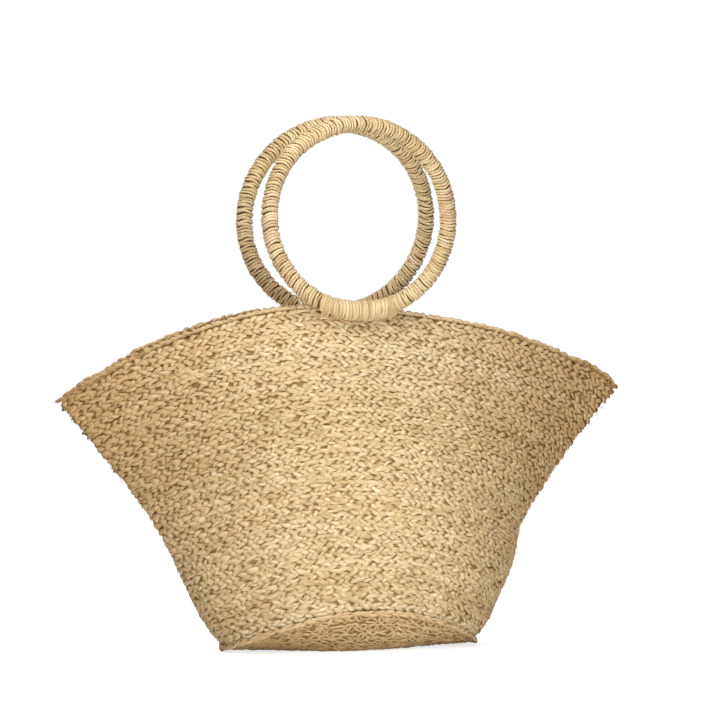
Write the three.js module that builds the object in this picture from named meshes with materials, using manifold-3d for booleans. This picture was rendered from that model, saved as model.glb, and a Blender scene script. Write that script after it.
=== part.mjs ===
// Straw basket bag with two round wound handles, standing on its own base.
// Lengths are millimetres. +Z is up, +X runs to the right tip and -Y is the front.
import * as THREE from 'three';
import Module from 'manifold-3d';
import { mergeVertices } from 'three/addons/utils/BufferGeometryUtils.js';

// Plaited wall
const TIP_TO_TIP_LENGTH = 459;
const LEFT_TIP_HEIGHT = 195;
const RIGHT_TIP_HEIGHT = 205;
const RIM_CROWN_HEIGHT = 268.5;
const MOUTH_WIDTH = 60;
const BELLY_WIDTH = 122;
const WALL_THICKNESS = 3;

// Oval base with a shallow boat-shaped bulge
const BASE_LENGTH = 202;
const BASE_WIDTH = 112;
const BASE_THICKNESS = 3;
const BASE_SIDE_SHIFT = 3;
const SEAM_END_HEIGHT = 5;
const SEAM_MIDDLE_HEIGHT = 35;

// Rolled plait along the rim and plait along the base seam
const RIM_ROLL_WIDTH = 4.6;
const RIM_ROLL_HEIGHT = 4;
const SEAM_PLAIT_THICKNESS = 2.6;
const SEAM_PLAIT_HEIGHT = 4.6;

// Round handles
const FRONT_RING_OUTER_DIAMETER = 157;
const BACK_RING_OUTER_DIAMETER = 163;
const RING_TUBE_DIAMETER = 13.6;
const FRONT_RING_LEAN_DEGREES = 1;
const BACK_RING_LEAN_DEGREES = 9.5;
const RING_DROP_BELOW_RIM = 12;
const RING_STANDOFF = 1.1;

// Lashing that holds each handle to the rim
const LASHING_LENGTH = 62;
const LASHING_THICKNESS = 1.2;
const LASHING_LEG_DROP = 13;

// Distance kept between neighbouring pieces, larger where a lashing crosses curved facets
const CLEARANCE = 0.3;
const LASHING_CLEARANCE = 0.4;

// Shape shares, all without a unit
const BELLY_RISE = 0.45;
const TIP_SHARPNESS = 0.85;
const TIP_WALL_STRETCH = 2.2;
const FLAT_BASE_SHARE = 0.45;
const BASE_BULGE_POWER = 1.4;

// Drop of the rim from its crown towards the tips, a row per place along the length
const RIM_LINE = [
  { along: -1.0, drop: 1.0 },
  { along: -0.94, drop: 0.875 },
  { along: -0.85, drop: 0.71 },
  { along: -0.7, drop: 0.46 },
  { along: -0.5, drop: 0.215 },
  { along: -0.35, drop: 0.085 },
  { along: -0.2, drop: 0.014 },
  { along: -0.1, drop: 0.0 },
  { along: 0.0, drop: 0.012 },
  { along: 0.2, drop: 0.084 },
  { along: 0.5, drop: 0.252 },
  { along: 0.7, drop: 0.463 },
  { along: 0.85, drop: 0.663 },
  { along: 0.94, drop: 0.812 },
  { along: 1.0, drop: 1.0 },
];

// Reach of the two ends from the base end (0) to the tip (1), a row per height
const END_LINE = [
  { rise: 0.0, left: 0.0, right: 0.0 },
  { rise: 0.07, left: 0.092, right: 0.095 },
  { rise: 0.15, left: 0.16, right: 0.16 },
  { rise: 0.3, left: 0.267, right: 0.275 },
  { rise: 0.38, left: 0.323, right: 0.31 },
  { rise: 0.46, left: 0.386, right: 0.349 },
  { rise: 0.6, left: 0.522, right: 0.491 },
  { rise: 0.8, left: 0.755, right: 0.728 },
  { rise: 0.9, left: 0.879, right: 0.858 },
  { rise: 1.0, left: 1.0, right: 1.0 },
];

// Soft dents of the wall, a row per dent: side -1 is the front and 1 the back
const DENTS = [
  { side: -1, along: 0.8, rise: 0.42, reachAlong: 0.22, reachRise: 0.09, depth: 5 },
  { side: -1, along: -0.72, rise: 0.44, reachAlong: 0.25, reachRise: 0.08, depth: 3 },
  { side: -1, along: 0.3, rise: 0.68, reachAlong: 0.3, reachRise: 0.2, depth: 4 },
  { side: 1, along: -0.25, rise: 0.55, reachAlong: 0.4, reachRise: 0.18, depth: 6 },
  { side: 1, along: 0.7, rise: 0.42, reachAlong: 0.25, reachRise: 0.1, depth: 4 },
];

// Fineness of the faceted surfaces
const ROUND_STEPS = 64;
const WALL_ROWS = 13;
const BASE_RINGS = 6;
const PLAIT_SIDES = 8;
const RING_STEPS = 60;
const RING_SIDES = 10;
const LASHING_STEPS = 12;

// Heights of the wall that a lashing passes, as shares of its rise
const LASHED_RISES = [0.9, 0.93, 0.965, 1];

// Finishes taken from the straw
const WALL_COLOUR = 0xcbb083;
const BASE_COLOUR = 0xc4a678;
const EDGE_COLOUR = 0xc09a6c;
const HANDLE_COLOUR = 0xd3ba8c;
const LASHING_COLOUR = 0xcfb180;

const HALF_TURN = Math.PI;
const QUARTER_TURN = Math.PI / 2;
const FRONT = -1;
const BACK = 1;

// Smooth curve through the rows of a table, read from one named column
function fromTable(rows, keyColumn, valueColumn, key) {
  const last = rows.length - 1;
  if (key <= rows[0][keyColumn]) return rows[0][valueColumn];
  if (key >= rows[last][keyColumn]) return rows[last][valueColumn];
  const slopeAt = (index) => {
    const before = rows[Math.max(index - 1, 0)];
    const after = rows[Math.min(index + 1, last)];
    return (after[valueColumn] - before[valueColumn]) / (after[keyColumn] - before[keyColumn]);
  };
  const next = rows.findIndex((row) => row[keyColumn] > key);
  const low = rows[next - 1];
  const high = rows[next];
  const span = high[keyColumn] - low[keyColumn];
  const t = (key - low[keyColumn]) / span;
  const rising = t * t * (3 - 2 * t);
  const leaving = t * (1 - t) * (1 - t) * span * slopeAt(next - 1);
  const arriving = t * t * (t - 1) * span * slopeAt(next);
  return low[valueColumn] * (1 - rising) + high[valueColumn] * rising + leaving + arriving;
}

// Height of the rim's top line at a place along the length, -1 at the left tip and 1 at the right
function rimHeight(along) {
  const tip = THREE.MathUtils.lerp(LEFT_TIP_HEIGHT, RIGHT_TIP_HEIGHT, (along + 1) / 2);
  return RIM_CROWN_HEIGHT - fromTable(RIM_LINE, 'along', 'drop', along) * (RIM_CROWN_HEIGHT - tip);
}

// Height of the wall's top edge, under the rolled plait
function wallTopHeight(along) {
  return rimHeight(along) - RIM_ROLL_HEIGHT - CLEARANCE;
}

// Height of the wall's bottom edge, low at the two ends and arched at front and back
function seamHeight(angle) {
  const arch = Math.sin(angle) ** 2;
  return THREE.MathUtils.lerp(SEAM_END_HEIGHT, SEAM_MIDDLE_HEIGHT, arch);
}

// Half length of the wall at a height share, to the right or the left end
function halfLength(rise, toRight) {
  const reach = fromTable(END_LINE, 'rise', toRight ? 'right' : 'left', rise);
  return THREE.MathUtils.lerp(BASE_LENGTH / 2, TIP_TO_TIP_LENGTH / 2, reach);
}

// Half width of the wall at the middle: base, belly and mouth joined by quarter waves
function halfWidth(rise) {
  if (rise < BELLY_RISE) {
    const swell = Math.sin((QUARTER_TURN * rise) / BELLY_RISE);
    return THREE.MathUtils.lerp(BASE_WIDTH / 2, BELLY_WIDTH / 2, swell);
  }
  const closing = 1 - Math.cos((QUARTER_TURN * (rise - BELLY_RISE)) / (1 - BELLY_RISE));
  return THREE.MathUtils.lerp(BELLY_WIDTH / 2, MOUTH_WIDTH / 2, closing);
}

// How far the wall is pressed in by its dents, fading out at the two ends
function dentDepth(angle, rise) {
  const along = Math.cos(angle);
  const side = Math.sign(Math.sin(angle));
  let depth = 0;
  for (const dent of DENTS) {
    if (dent.side !== side) continue;
    const aside = (along - dent.along) / dent.reachAlong;
    const above = (rise - dent.rise) / dent.reachRise;
    depth += dent.depth * Math.exp(-aside * aside - above * above);
  }
  return depth * Math.abs(Math.sin(angle));
}

// Point of the wall: angle 0 at the right tip, rise 0 at the seam and 1 at the top edge,
// inset the depth below the outer face. Sections run from an oval to a pointed lens.
function wallPoint(angle, rise, inset) {
  const along = Math.cos(angle);
  const across = Math.sin(angle);
  const sharpness = TIP_SHARPNESS * THREE.MathUtils.smoothstep(rise, 0, 1);
  const lengthInset = inset * (1 + TIP_WALL_STRETCH * sharpness);
  const shift = BASE_SIDE_SHIFT * (1 - rise);
  const x = (halfLength(rise, along > 0) - lengthInset) * along + shift;
  const spread = Math.abs(across) ** (1 + sharpness);
  const width = (halfWidth(rise) - inset) * spread - dentDepth(angle, rise);
  const z = THREE.MathUtils.lerp(seamHeight(angle), wallTopHeight(along), rise);
  return new THREE.Vector3(x, width * Math.sign(across), z);
}

// Height of the base's inner face, flat in the middle and rising to the seam
function baseInnerHeight(angle, share) {
  const outside = Math.max(share - FLAT_BASE_SHARE, 0) / (1 - FLAT_BASE_SHARE);
  const edge = seamHeight(angle) - CLEARANCE;
  return THREE.MathUtils.lerp(BASE_THICKNESS, edge, outside ** BASE_BULGE_POWER);
}

// Upright thickness of the base, larger where it is steep
function baseUprightThickness(angle, share) {
  const outside = Math.max(share - FLAT_BASE_SHARE, 0) / (1 - FLAT_BASE_SHARE);
  const climb = seamHeight(angle) - CLEARANCE - BASE_THICKNESS;
  const reach = Math.hypot((BASE_LENGTH / 2) * Math.cos(angle), (BASE_WIDTH / 2) * Math.sin(angle));
  const run = reach * (1 - FLAT_BASE_SHARE);
  const slope = (climb * BASE_BULGE_POWER * outside ** (BASE_BULGE_POWER - 1)) / run;
  return BASE_THICKNESS * Math.hypot(1, slope);
}

// Point of the base at a share of the way out from its middle, on the inner or the outer face
function basePoint(angle, share, onInnerFace) {
  const x = (BASE_LENGTH / 2) * share * Math.cos(angle) + BASE_SIDE_SHIFT;
  const y = (BASE_WIDTH / 2) * share * Math.sin(angle);
  const inner = baseInnerHeight(angle, share);
  const z = onInnerFace ? inner : inner - baseUprightThickness(angle, share);
  return new THREE.Vector3(x, y, z);
}

// Indexed geometry from points and triangles
function geometryOf(points, triangles) {
  const geometry = new THREE.BufferGeometry().setFromPoints(points);
  geometry.setIndex(triangles);
  geometry.computeVertexNormals();
  return geometry;
}

// Closed band round the bag: one closed section per angle, counted anticlockwise when
// looking along the direction of travel from inside the section
function bandGeometry(sectionAt) {
  const sections = Array.from({ length: ROUND_STEPS }, (_, step) => sectionAt((2 * HALF_TURN * step) / ROUND_STEPS));
  const sides = sections[0].length;
  const triangles = [];
  for (let step = 0; step < ROUND_STEPS; step += 1) {
    const here = step * sides;
    const ahead = ((step + 1) % ROUND_STEPS) * sides;
    for (let side = 0; side < sides; side += 1) {
      const next = (side + 1) % sides;
      triangles.push(here + side, ahead + side, ahead + next, here + side, ahead + next, here + next);
    }
  }
  return geometryOf(sections.flat(), triangles);
}

// Hollow wall: up the outer face, then down the inner face
function wallGeometry() {
  const rises = Array.from({ length: WALL_ROWS }, (_, row) => row / (WALL_ROWS - 1));
  return bandGeometry((angle) => {
    const outer = rises.map((rise) => wallPoint(angle, rise, 0));
    const inner = rises.map((rise) => wallPoint(angle, rise, WALL_THICKNESS)).reverse();
    return [...outer, ...inner];
  });
}

// Oval plait round the bag, its section given by centre, width and height over the wall's inset
function plaitGeometry(rise, centreInset, width, height, heightAt) {
  return bandGeometry((angle) =>
    Array.from({ length: PLAIT_SIDES }, (_, side) => {
      const turn = (2 * HALF_TURN * side) / PLAIT_SIDES;
      const inset = centreInset - (width / 2) * Math.cos(turn);
      const point = wallPoint(angle, rise, inset);
      point.z = heightAt(angle) + (height / 2) * Math.sin(turn);
      return point;
    }),
  );
}

// Dished oval base: rings of points on both faces and a middle point on each
function baseGeometry() {
  const points = [
    new THREE.Vector3(BASE_SIDE_SHIFT, 0, 0),
    new THREE.Vector3(BASE_SIDE_SHIFT, 0, BASE_THICKNESS),
  ];
  const shares = [];
  for (let ring = 0; ring <= BASE_RINGS; ring += 1) {
    shares.push(THREE.MathUtils.lerp(FLAT_BASE_SHARE, 1, ring / BASE_RINGS));
  }
  const profile = [
    ...shares.map((share) => ({ share, onInnerFace: false })),
    ...shares.map((share) => ({ share, onInnerFace: true })).reverse(),
  ];
  for (let step = 0; step < ROUND_STEPS; step += 1) {
    const angle = (2 * HALF_TURN * step) / ROUND_STEPS;
    for (const place of profile) points.push(basePoint(angle, place.share, place.onInnerFace));
  }
  const triangles = [];
  for (let step = 0; step < ROUND_STEPS; step += 1) {
    const here = 2 + step * profile.length;
    const ahead = 2 + ((step + 1) % ROUND_STEPS) * profile.length;
    const end = profile.length - 1;
    triangles.push(0, ahead, here, 1, here + end, ahead + end);
    for (let place = 0; place < end; place += 1) {
      triangles.push(here + place, ahead + place, ahead + place + 1);
      triangles.push(here + place, ahead + place + 1, here + place + 1);
    }
  }
  return geometryOf(points, triangles);
}

// Sizes of a handle that follow from its driving dimensions
const ringTubeRadius = RING_TUBE_DIAMETER / 2;
const rimOverhang = Math.max(RIM_ROLL_WIDTH - WALL_THICKNESS, 0) / 2;
const ringSeatHeight = rimHeight(0) - RING_DROP_BELOW_RIM + ringTubeRadius;
const ringSeatOut = MOUTH_WIDTH / 2 + rimOverhang + RING_STANDOFF + ringTubeRadius;

// Radius of a handle's centre line
function ringRadius(side) {
  return (side === FRONT ? FRONT_RING_OUTER_DIAMETER : BACK_RING_OUTER_DIAMETER) / 2 - ringTubeRadius;
}

// Lean of a handle over the mouth
function ringLean(side) {
  return THREE.MathUtils.degToRad(side === FRONT ? FRONT_RING_LEAN_DEGREES : BACK_RING_LEAN_DEGREES);
}

// Handle ring, its lowest point seated outside the rim and its top leaning over the mouth
function ringGeometry(side, tubeRadius) {
  const geometry = new THREE.TorusGeometry(ringRadius(side), tubeRadius, RING_SIDES, RING_STEPS);
  geometry.rotateX(QUARTER_TURN);
  geometry.translate(0, 0, ringRadius(side));
  geometry.rotateX(side * ringLean(side));
  geometry.translate(0, side * ringSeatOut, ringSeatHeight);
  return geometry;
}

// Distance from the middle plane and height of the wall at a place along the length
function wallOutAt(x, side, rise, inset) {
  const shift = BASE_SIDE_SHIFT * (1 - rise);
  const angle = side * Math.acos((x - shift) / halfLength(rise, x > 0));
  const point = wallPoint(angle, rise, inset);
  return [Math.abs(point.y), point.z];
}

// Distance of the wall's top edge from the middle plane
function rimOut(x, side, inset) {
  return wallOutAt(x, side, 1, inset)[0];
}

// Straight loft along X between closed outlines of equal count, capped at both ends
function loftGeometry(outlines) {
  const flatten = (outline) => outline.map((point) => new THREE.Vector2(point.y, point.z));
  const turned = THREE.ShapeUtils.isClockWise(flatten(outlines[0]));
  const sections = turned ? outlines.map((outline) => [...outline].reverse()) : outlines;
  const sides = sections[0].length;
  const last = (sections.length - 1) * sides;
  const triangles = [];
  for (let here = 0; here < last; here += sides) {
    for (let side = 0; side < sides; side += 1) {
      const next = here + ((side + 1) % sides);
      triangles.push(here + side, next, next + sides, here + side, next + sides, here + side + sides);
    }
  }
  for (const [a, b, c] of THREE.ShapeUtils.triangulateShape(flatten(sections[0]), [])) {
    triangles.push(a, c, b, last + a, last + b, last + c);
  }
  return geometryOf(sections.flat(), triangles);
}

// Outline of a lashing across the rim at one place: inner leg, rolled plait, then round the tube
function lashingOutline(x, side) {
  const turn = Math.asin(x / ringRadius(side));
  const lift = ringRadius(side) * (1 - Math.cos(turn));
  const tubeOut = ringSeatOut - lift * Math.sin(ringLean(side));
  const tubeHeight = ringSeatHeight + lift * Math.cos(ringLean(side));
  const cover = ringTubeRadius + LASHING_CLEARANCE + LASHING_THICKNESS;
  const legOut = rimOut(x, side, WALL_THICKNESS) - rimOverhang - LASHING_CLEARANCE - LASHING_THICKNESS;
  const rimTop = rimHeight(x / halfLength(1, x > 0)) + LASHING_CLEARANCE + LASHING_THICKNESS;
  const rollOut = rimOut(x, side, 0);
  const outline = [
    [legOut, rimHeight(0) - LASHING_LEG_DROP],
    [legOut, rimTop - LASHING_THICKNESS],
    [rollOut - WALL_THICKNESS, rimTop],
    [rollOut, rimTop],
  ];
  for (let arc = 0; arc < 7; arc += 1) {
    const around = THREE.MathUtils.degToRad(125 - 34 * arc);
    outline.push([
      tubeOut + cover * Math.cos(around),
      tubeHeight + (cover / Math.cos(turn)) * Math.sin(around),
    ]);
  }
  return outline.map(([out, height]) => new THREE.Vector3(x, side * out, height));
}

// Room that the wall's top and its rolled plait take out of a lashing
function rimRoomOutline(x, side) {
  const rollMiddle = rimOut(x, side, WALL_THICKNESS / 2);
  const rollHalf = RIM_ROLL_WIDTH / 2 + LASHING_CLEARANCE;
  const rimTop = rimHeight(x / halfLength(1, x > 0)) + LASHING_CLEARANCE;
  const rollFoot = wallTopHeight(x / halfLength(1, x > 0));
  const bend = RIM_ROLL_HEIGHT / 4;
  const inner = LASHED_RISES.map((rise) => wallOutAt(x, side, rise, WALL_THICKNESS + LASHING_CLEARANCE));
  const outer = LASHED_RISES.map((rise) => wallOutAt(x, side, rise, -LASHING_CLEARANCE)).reverse();
  const outline = [
    ...inner,
    [rollMiddle - rollHalf, rollFoot + bend],
    [rollMiddle - rollHalf, rimTop - bend],
    [rollMiddle - rollHalf / 2, rimTop],
    [rollMiddle + rollHalf / 2, rimTop],
    [rollMiddle + rollHalf, rimTop - bend],
    [rollMiddle + rollHalf, rollFoot + bend],
    ...outer,
  ];
  return outline.map(([out, height]) => new THREE.Vector3(x, side * out, height));
}

// Loft of one outline function over a length centred on the handle
function loftAlong(length, outlineAt, side) {
  const outlines = Array.from({ length: LASHING_STEPS + 1 }, (_, step) =>
    outlineAt(length * (step / LASHING_STEPS - 0.5), side),
  );
  return loftGeometry(outlines);
}

const wasm = await Module();
wasm.setup();

// Solid of a closed geometry
function solidOf(geometry) {
  geometry.deleteAttribute('normal');
  geometry.deleteAttribute('uv');
  const merged = mergeVertices(geometry);
  return new wasm.Manifold(
    new wasm.Mesh({
      numProp: 3,
      vertProperties: Float32Array.from(merged.attributes.position.array),
      triVerts: Uint32Array.from(merged.index.array),
    }),
  );
}

// Lashing: wound band round handle and rim together, hollowed for both
function lashingGeometry(side) {
  const band = solidOf(loftAlong(LASHING_LENGTH, lashingOutline, side));
  const rimRoom = solidOf(loftAlong(LASHING_LENGTH + 4 * LASHING_THICKNESS, rimRoomOutline, side));
  const tubeRoom = solidOf(ringGeometry(side, ringTubeRadius + LASHING_CLEARANCE));
  const mesh = band.subtract(rimRoom).subtract(tubeRoom).getMesh();
  const geometry = new THREE.BufferGeometry();
  geometry.setAttribute('position', new THREE.BufferAttribute(Float32Array.from(mesh.vertProperties), 3));
  geometry.setIndex(Array.from(mesh.triVerts));
  geometry.computeVertexNormals();
  return geometry;
}

// Named mesh with a matt straw finish of its own
function piece(name, geometry, colour, roughness) {
  const finish = new THREE.MeshStandardMaterial({ color: colour, roughness, metalness: 0 });
  const mesh = new THREE.Mesh(geometry, finish);
  mesh.name = name;
  return mesh;
}

const rimRoll = plaitGeometry(
  1,
  WALL_THICKNESS / 2,
  RIM_ROLL_WIDTH,
  RIM_ROLL_HEIGHT,
  (angle) => rimHeight(Math.cos(angle)) - RIM_ROLL_HEIGHT / 2,
);
const seamPlait = plaitGeometry(
  0,
  -CLEARANCE - SEAM_PLAIT_THICKNESS / 2,
  SEAM_PLAIT_THICKNESS,
  SEAM_PLAIT_HEIGHT,
  (angle) => seamHeight(angle) - CLEARANCE - baseUprightThickness(angle, 1) / 2,
);

const bag = new THREE.Group();
bag.add(
  piece('wall', wallGeometry(), WALL_COLOUR, 0.85),
  piece('base', baseGeometry(), BASE_COLOUR, 0.85),
  piece('rim_roll', rimRoll, EDGE_COLOUR, 0.8),
  piece('seam_plait', seamPlait, EDGE_COLOUR, 0.8),
  piece('ring_front', ringGeometry(FRONT, ringTubeRadius), HANDLE_COLOUR, 0.75),
  piece('ring_back', ringGeometry(BACK, ringTubeRadius), HANDLE_COLOUR, 0.75),
  piece('lashing_front', lashingGeometry(FRONT), LASHING_COLOUR, 0.75),
  piece('lashing_back', lashingGeometry(BACK), LASHING_COLOUR, 0.75),
);

export default bag;
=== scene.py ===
"""Straw basket bag: plaited wall and base, rolled rim, seam plait and round wound handles.

Sizes in the classes are millimetres and meshes are made in metres. +Z is up, +X runs to the
right tip and -Y is the front.
"""

import logging
import math
from collections.abc import Callable, Sequence
from dataclasses import dataclass
from enum import Enum
from typing import NamedTuple

import bpy
import numpy as np
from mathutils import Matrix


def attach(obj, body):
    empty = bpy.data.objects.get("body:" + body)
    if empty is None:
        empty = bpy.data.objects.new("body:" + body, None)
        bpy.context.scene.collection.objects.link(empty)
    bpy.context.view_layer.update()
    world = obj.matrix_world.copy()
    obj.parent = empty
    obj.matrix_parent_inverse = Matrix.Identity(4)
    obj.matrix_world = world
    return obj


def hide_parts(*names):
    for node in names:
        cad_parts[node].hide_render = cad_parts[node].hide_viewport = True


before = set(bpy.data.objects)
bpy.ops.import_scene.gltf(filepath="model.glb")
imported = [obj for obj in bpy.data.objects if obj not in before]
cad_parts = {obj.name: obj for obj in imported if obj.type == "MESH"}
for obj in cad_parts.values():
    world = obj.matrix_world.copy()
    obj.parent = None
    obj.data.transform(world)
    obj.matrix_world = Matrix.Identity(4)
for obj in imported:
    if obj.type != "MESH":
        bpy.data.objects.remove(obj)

LOG = logging.getLogger("basket_bag")
TURN = 2.0 * math.pi
QUARTER = math.pi / 2.0
METRE = 1000.0
FIBRE_START = 500.0
SMALL_TURN = 1e-3

Points = np.ndarray
Surface = Callable[[np.ndarray, np.ndarray], Points]


class Side(Enum):
    """Face of the bag that a handle is lashed to."""

    FRONT = -1.0
    BACK = 1.0


class RimRow(NamedTuple):
    """Drop of the rim from its crown, as a share, at a place along the length."""

    along: float
    drop: float


class EndRow(NamedTuple):
    """Reach of the left and right ends from base end to tip, as shares, at a height share."""

    rise: float
    left: float
    right: float


class Dent(NamedTuple):
    """Soft dent of the wall: place and reach as shares, depth in millimetres."""

    side: float
    along: float
    rise: float
    reach_along: float
    reach_rise: float
    depth: float


def read_table(rows: Sequence[NamedTuple], column: str, at: np.ndarray) -> np.ndarray:
    """Reads a smooth curve through one column of a table.

    Args:
        rows: Table rows, sorted by their first column.
        column: Name of the column to read.
        at: Places to read, in the units of the first column.

    Returns:
        The smoothed column at those places.
    """
    keys = np.array([row[0] for row in rows])
    values = np.array([getattr(row, column) for row in rows])
    slopes = np.gradient(values, keys, edge_order=1)
    slopes[1:-1] = (values[2:] - values[:-2]) / (keys[2:] - keys[:-2])
    inside = np.clip(at, keys[0], keys[-1])
    low = np.clip(np.searchsorted(keys, inside, side="right") - 1, 0, len(keys) - 2)
    span = keys[low + 1] - keys[low]
    t = (inside - keys[low]) / span
    rising = t * t * (3.0 - 2.0 * t)
    leaving = t * (1.0 - t) ** 2 * span * slopes[low]
    arriving = t * t * (t - 1.0) * span * slopes[low + 1]
    return values[low] * (1.0 - rising) + values[low + 1] * rising + leaving + arriving


def mix(low: np.ndarray | float, high: np.ndarray | float, share: np.ndarray | float) -> np.ndarray:
    """Blends from low to high by a share."""
    return low + (high - low) * share


def unit(vectors: np.ndarray) -> np.ndarray:
    """Scales vectors to length one."""
    return vectors / np.maximum(np.linalg.norm(vectors, axis=-1, keepdims=True), 1e-9)


def slow_wave(turns: np.ndarray, rng: np.random.Generator, highest: int) -> np.ndarray:
    """Smooth closed noise round a loop.

    Args:
        turns: Places round the loop, 0 to 1.
        rng: Random source.
        highest: Highest number of waves in one turn.

    Returns:
        Noise of about unit size that meets itself after one turn.
    """
    counts = np.arange(1, highest + 1)
    sizes = rng.normal(size=highest) / np.sqrt(highest)
    phases = rng.uniform(0.0, TURN, size=highest)
    return (sizes * np.sin(TURN * counts * turns[:, None] + phases)).sum(axis=1) * math.sqrt(2.0)


@dataclass(frozen=True)
class BasketForm:
    """Form of the soft wall and dished base, the same as the bag's solids."""

    tip_to_tip_length: float = 459.0
    left_tip_height: float = 195.0
    right_tip_height: float = 205.0
    rim_crown_height: float = 268.5
    mouth_width: float = 60.0
    belly_width: float = 122.0
    wall_thickness: float = 3.0
    base_length: float = 202.0
    base_width: float = 112.0
    base_thickness: float = 3.0
    base_side_shift: float = 3.0
    seam_end_height: float = 5.0
    seam_middle_height: float = 35.0
    rim_roll_width: float = 4.6
    rim_roll_height: float = 4.0
    clearance: float = 0.3
    belly_rise: float = 0.45
    tip_sharpness: float = 0.85
    tip_wall_stretch: float = 2.2
    flat_base_share: float = 0.45
    base_bulge_power: float = 1.4
    rim_line: tuple[RimRow, ...] = (
        RimRow(-1.0, 1.0),
        RimRow(-0.94, 0.875),
        RimRow(-0.85, 0.71),
        RimRow(-0.7, 0.46),
        RimRow(-0.5, 0.215),
        RimRow(-0.35, 0.085),
        RimRow(-0.2, 0.014),
        RimRow(-0.1, 0.0),
        RimRow(0.0, 0.012),
        RimRow(0.2, 0.084),
        RimRow(0.5, 0.252),
        RimRow(0.7, 0.463),
        RimRow(0.85, 0.663),
        RimRow(0.94, 0.812),
        RimRow(1.0, 1.0),
    )
    end_line: tuple[EndRow, ...] = (
        EndRow(0.0, 0.0, 0.0),
        EndRow(0.07, 0.092, 0.095),
        EndRow(0.15, 0.16, 0.16),
        EndRow(0.3, 0.267, 0.275),
        EndRow(0.38, 0.323, 0.31),
        EndRow(0.46, 0.386, 0.349),
        EndRow(0.6, 0.522, 0.491),
        EndRow(0.8, 0.755, 0.728),
        EndRow(0.9, 0.879, 0.858),
        EndRow(1.0, 1.0, 1.0),
    )
    dents: tuple[Dent, ...] = (
        Dent(-1.0, 0.8, 0.42, 0.22, 0.09, 5.0),
        Dent(-1.0, -0.72, 0.44, 0.25, 0.08, 3.0),
        Dent(-1.0, 0.3, 0.68, 0.3, 0.2, 4.0),
        Dent(1.0, -0.25, 0.55, 0.4, 0.18, 6.0),
        Dent(1.0, 0.7, 0.42, 0.25, 0.1, 4.0),
    )

    def rim_height(self, along: np.ndarray) -> np.ndarray:
        """Height of the rim's top line at a place along the length, -1 to 1.

        Args:
            along: Place along the length, -1 at the left tip and 1 at the right.

        Returns:
            Heights in millimetres.
        """
        tip = mix(self.left_tip_height, self.right_tip_height, (along + 1.0) / 2.0)
        drop = read_table(self.rim_line, "drop", along)
        return self.rim_crown_height - drop * (self.rim_crown_height - tip)

    def wall_top_height(self, along: np.ndarray) -> np.ndarray:
        """Height of the wall's top edge under the rolled plait."""
        return self.rim_height(along) - self.rim_roll_height - self.clearance

    def seam_height(self, angle: np.ndarray) -> np.ndarray:
        """Height of the wall's bottom edge, low at the ends and arched between them."""
        return mix(self.seam_end_height, self.seam_middle_height, np.sin(angle) ** 2)

    def half_length(self, rise: np.ndarray, to_right: np.ndarray) -> np.ndarray:
        """Half length of the wall at a height share, to the right or the left end.

        Args:
            rise: Height share, 0 at the seam and 1 at the top edge.
            to_right: True where the right end is meant.

        Returns:
            Half lengths in millimetres.
        """
        right = read_table(self.end_line, "right", rise)
        left = read_table(self.end_line, "left", rise)
        reach = np.where(to_right, right, left)
        return mix(self.base_length / 2.0, self.tip_to_tip_length / 2.0, reach)

    def half_width(self, rise: np.ndarray) -> np.ndarray:
        """Half width of the wall at its middle, at a height share.

        Args:
            rise: Height share, 0 at the seam and 1 at the top edge.

        Returns:
            Half widths in millimetres.
        """
        belly = self.belly_width / 2.0
        swell = np.sin(QUARTER * np.minimum(rise / self.belly_rise, 1.0))
        upper = np.clip((rise - self.belly_rise) / (1.0 - self.belly_rise), 0.0, None)
        closing = 1.0 - np.cos(QUARTER * upper)
        low = mix(self.base_width / 2.0, belly, swell)
        return np.where(rise < self.belly_rise, low, mix(belly, self.mouth_width / 2.0, closing))

    def dent_depth(self, angle: np.ndarray, rise: np.ndarray) -> np.ndarray:
        """How far the wall is pressed in by its dents.

        Args:
            angle: Place round the wall.
            rise: Height share, 0 at the seam and 1 at the top edge.

        Returns:
            Depths in millimetres.
        """
        along = np.cos(angle)
        side = np.sign(np.sin(angle))
        depth = np.zeros_like(along * rise)
        for dent in self.dents:
            aside = (along - dent.along) / dent.reach_along
            above = (rise - dent.rise) / dent.reach_rise
            depth = depth + (side == dent.side) * dent.depth * np.exp(-(aside**2) - above**2)
        return depth * np.abs(np.sin(angle))

    def wall_point(self, angle: np.ndarray, rise: np.ndarray, inset: float | np.ndarray) -> Points:
        """Points of the wall.

        Args:
            angle: Place round the wall, 0 at the right tip and a quarter turn at the back.
            rise: Height share, 0 at the seam and 1 at the top edge.
            inset: Depth below the outer face.

        Returns:
            Points in millimetres.
        """
        along = np.cos(angle)
        across = np.sin(angle)
        level = np.clip(rise, 0.0, 1.0)
        sharpness = self.tip_sharpness * level * level * (3.0 - 2.0 * level)
        length_inset = inset * (1.0 + self.tip_wall_stretch * sharpness)
        shift = self.base_side_shift * (1.0 - rise)
        x = (self.half_length(rise, along > 0.0) - length_inset) * along + shift
        spread = np.abs(across) ** (1.0 + sharpness)
        width = (self.half_width(rise) - inset) * spread - self.dent_depth(angle, rise)
        z = mix(self.seam_height(angle), self.wall_top_height(along), rise)
        return np.stack([x, width * np.sign(across), z], axis=-1)

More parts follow.
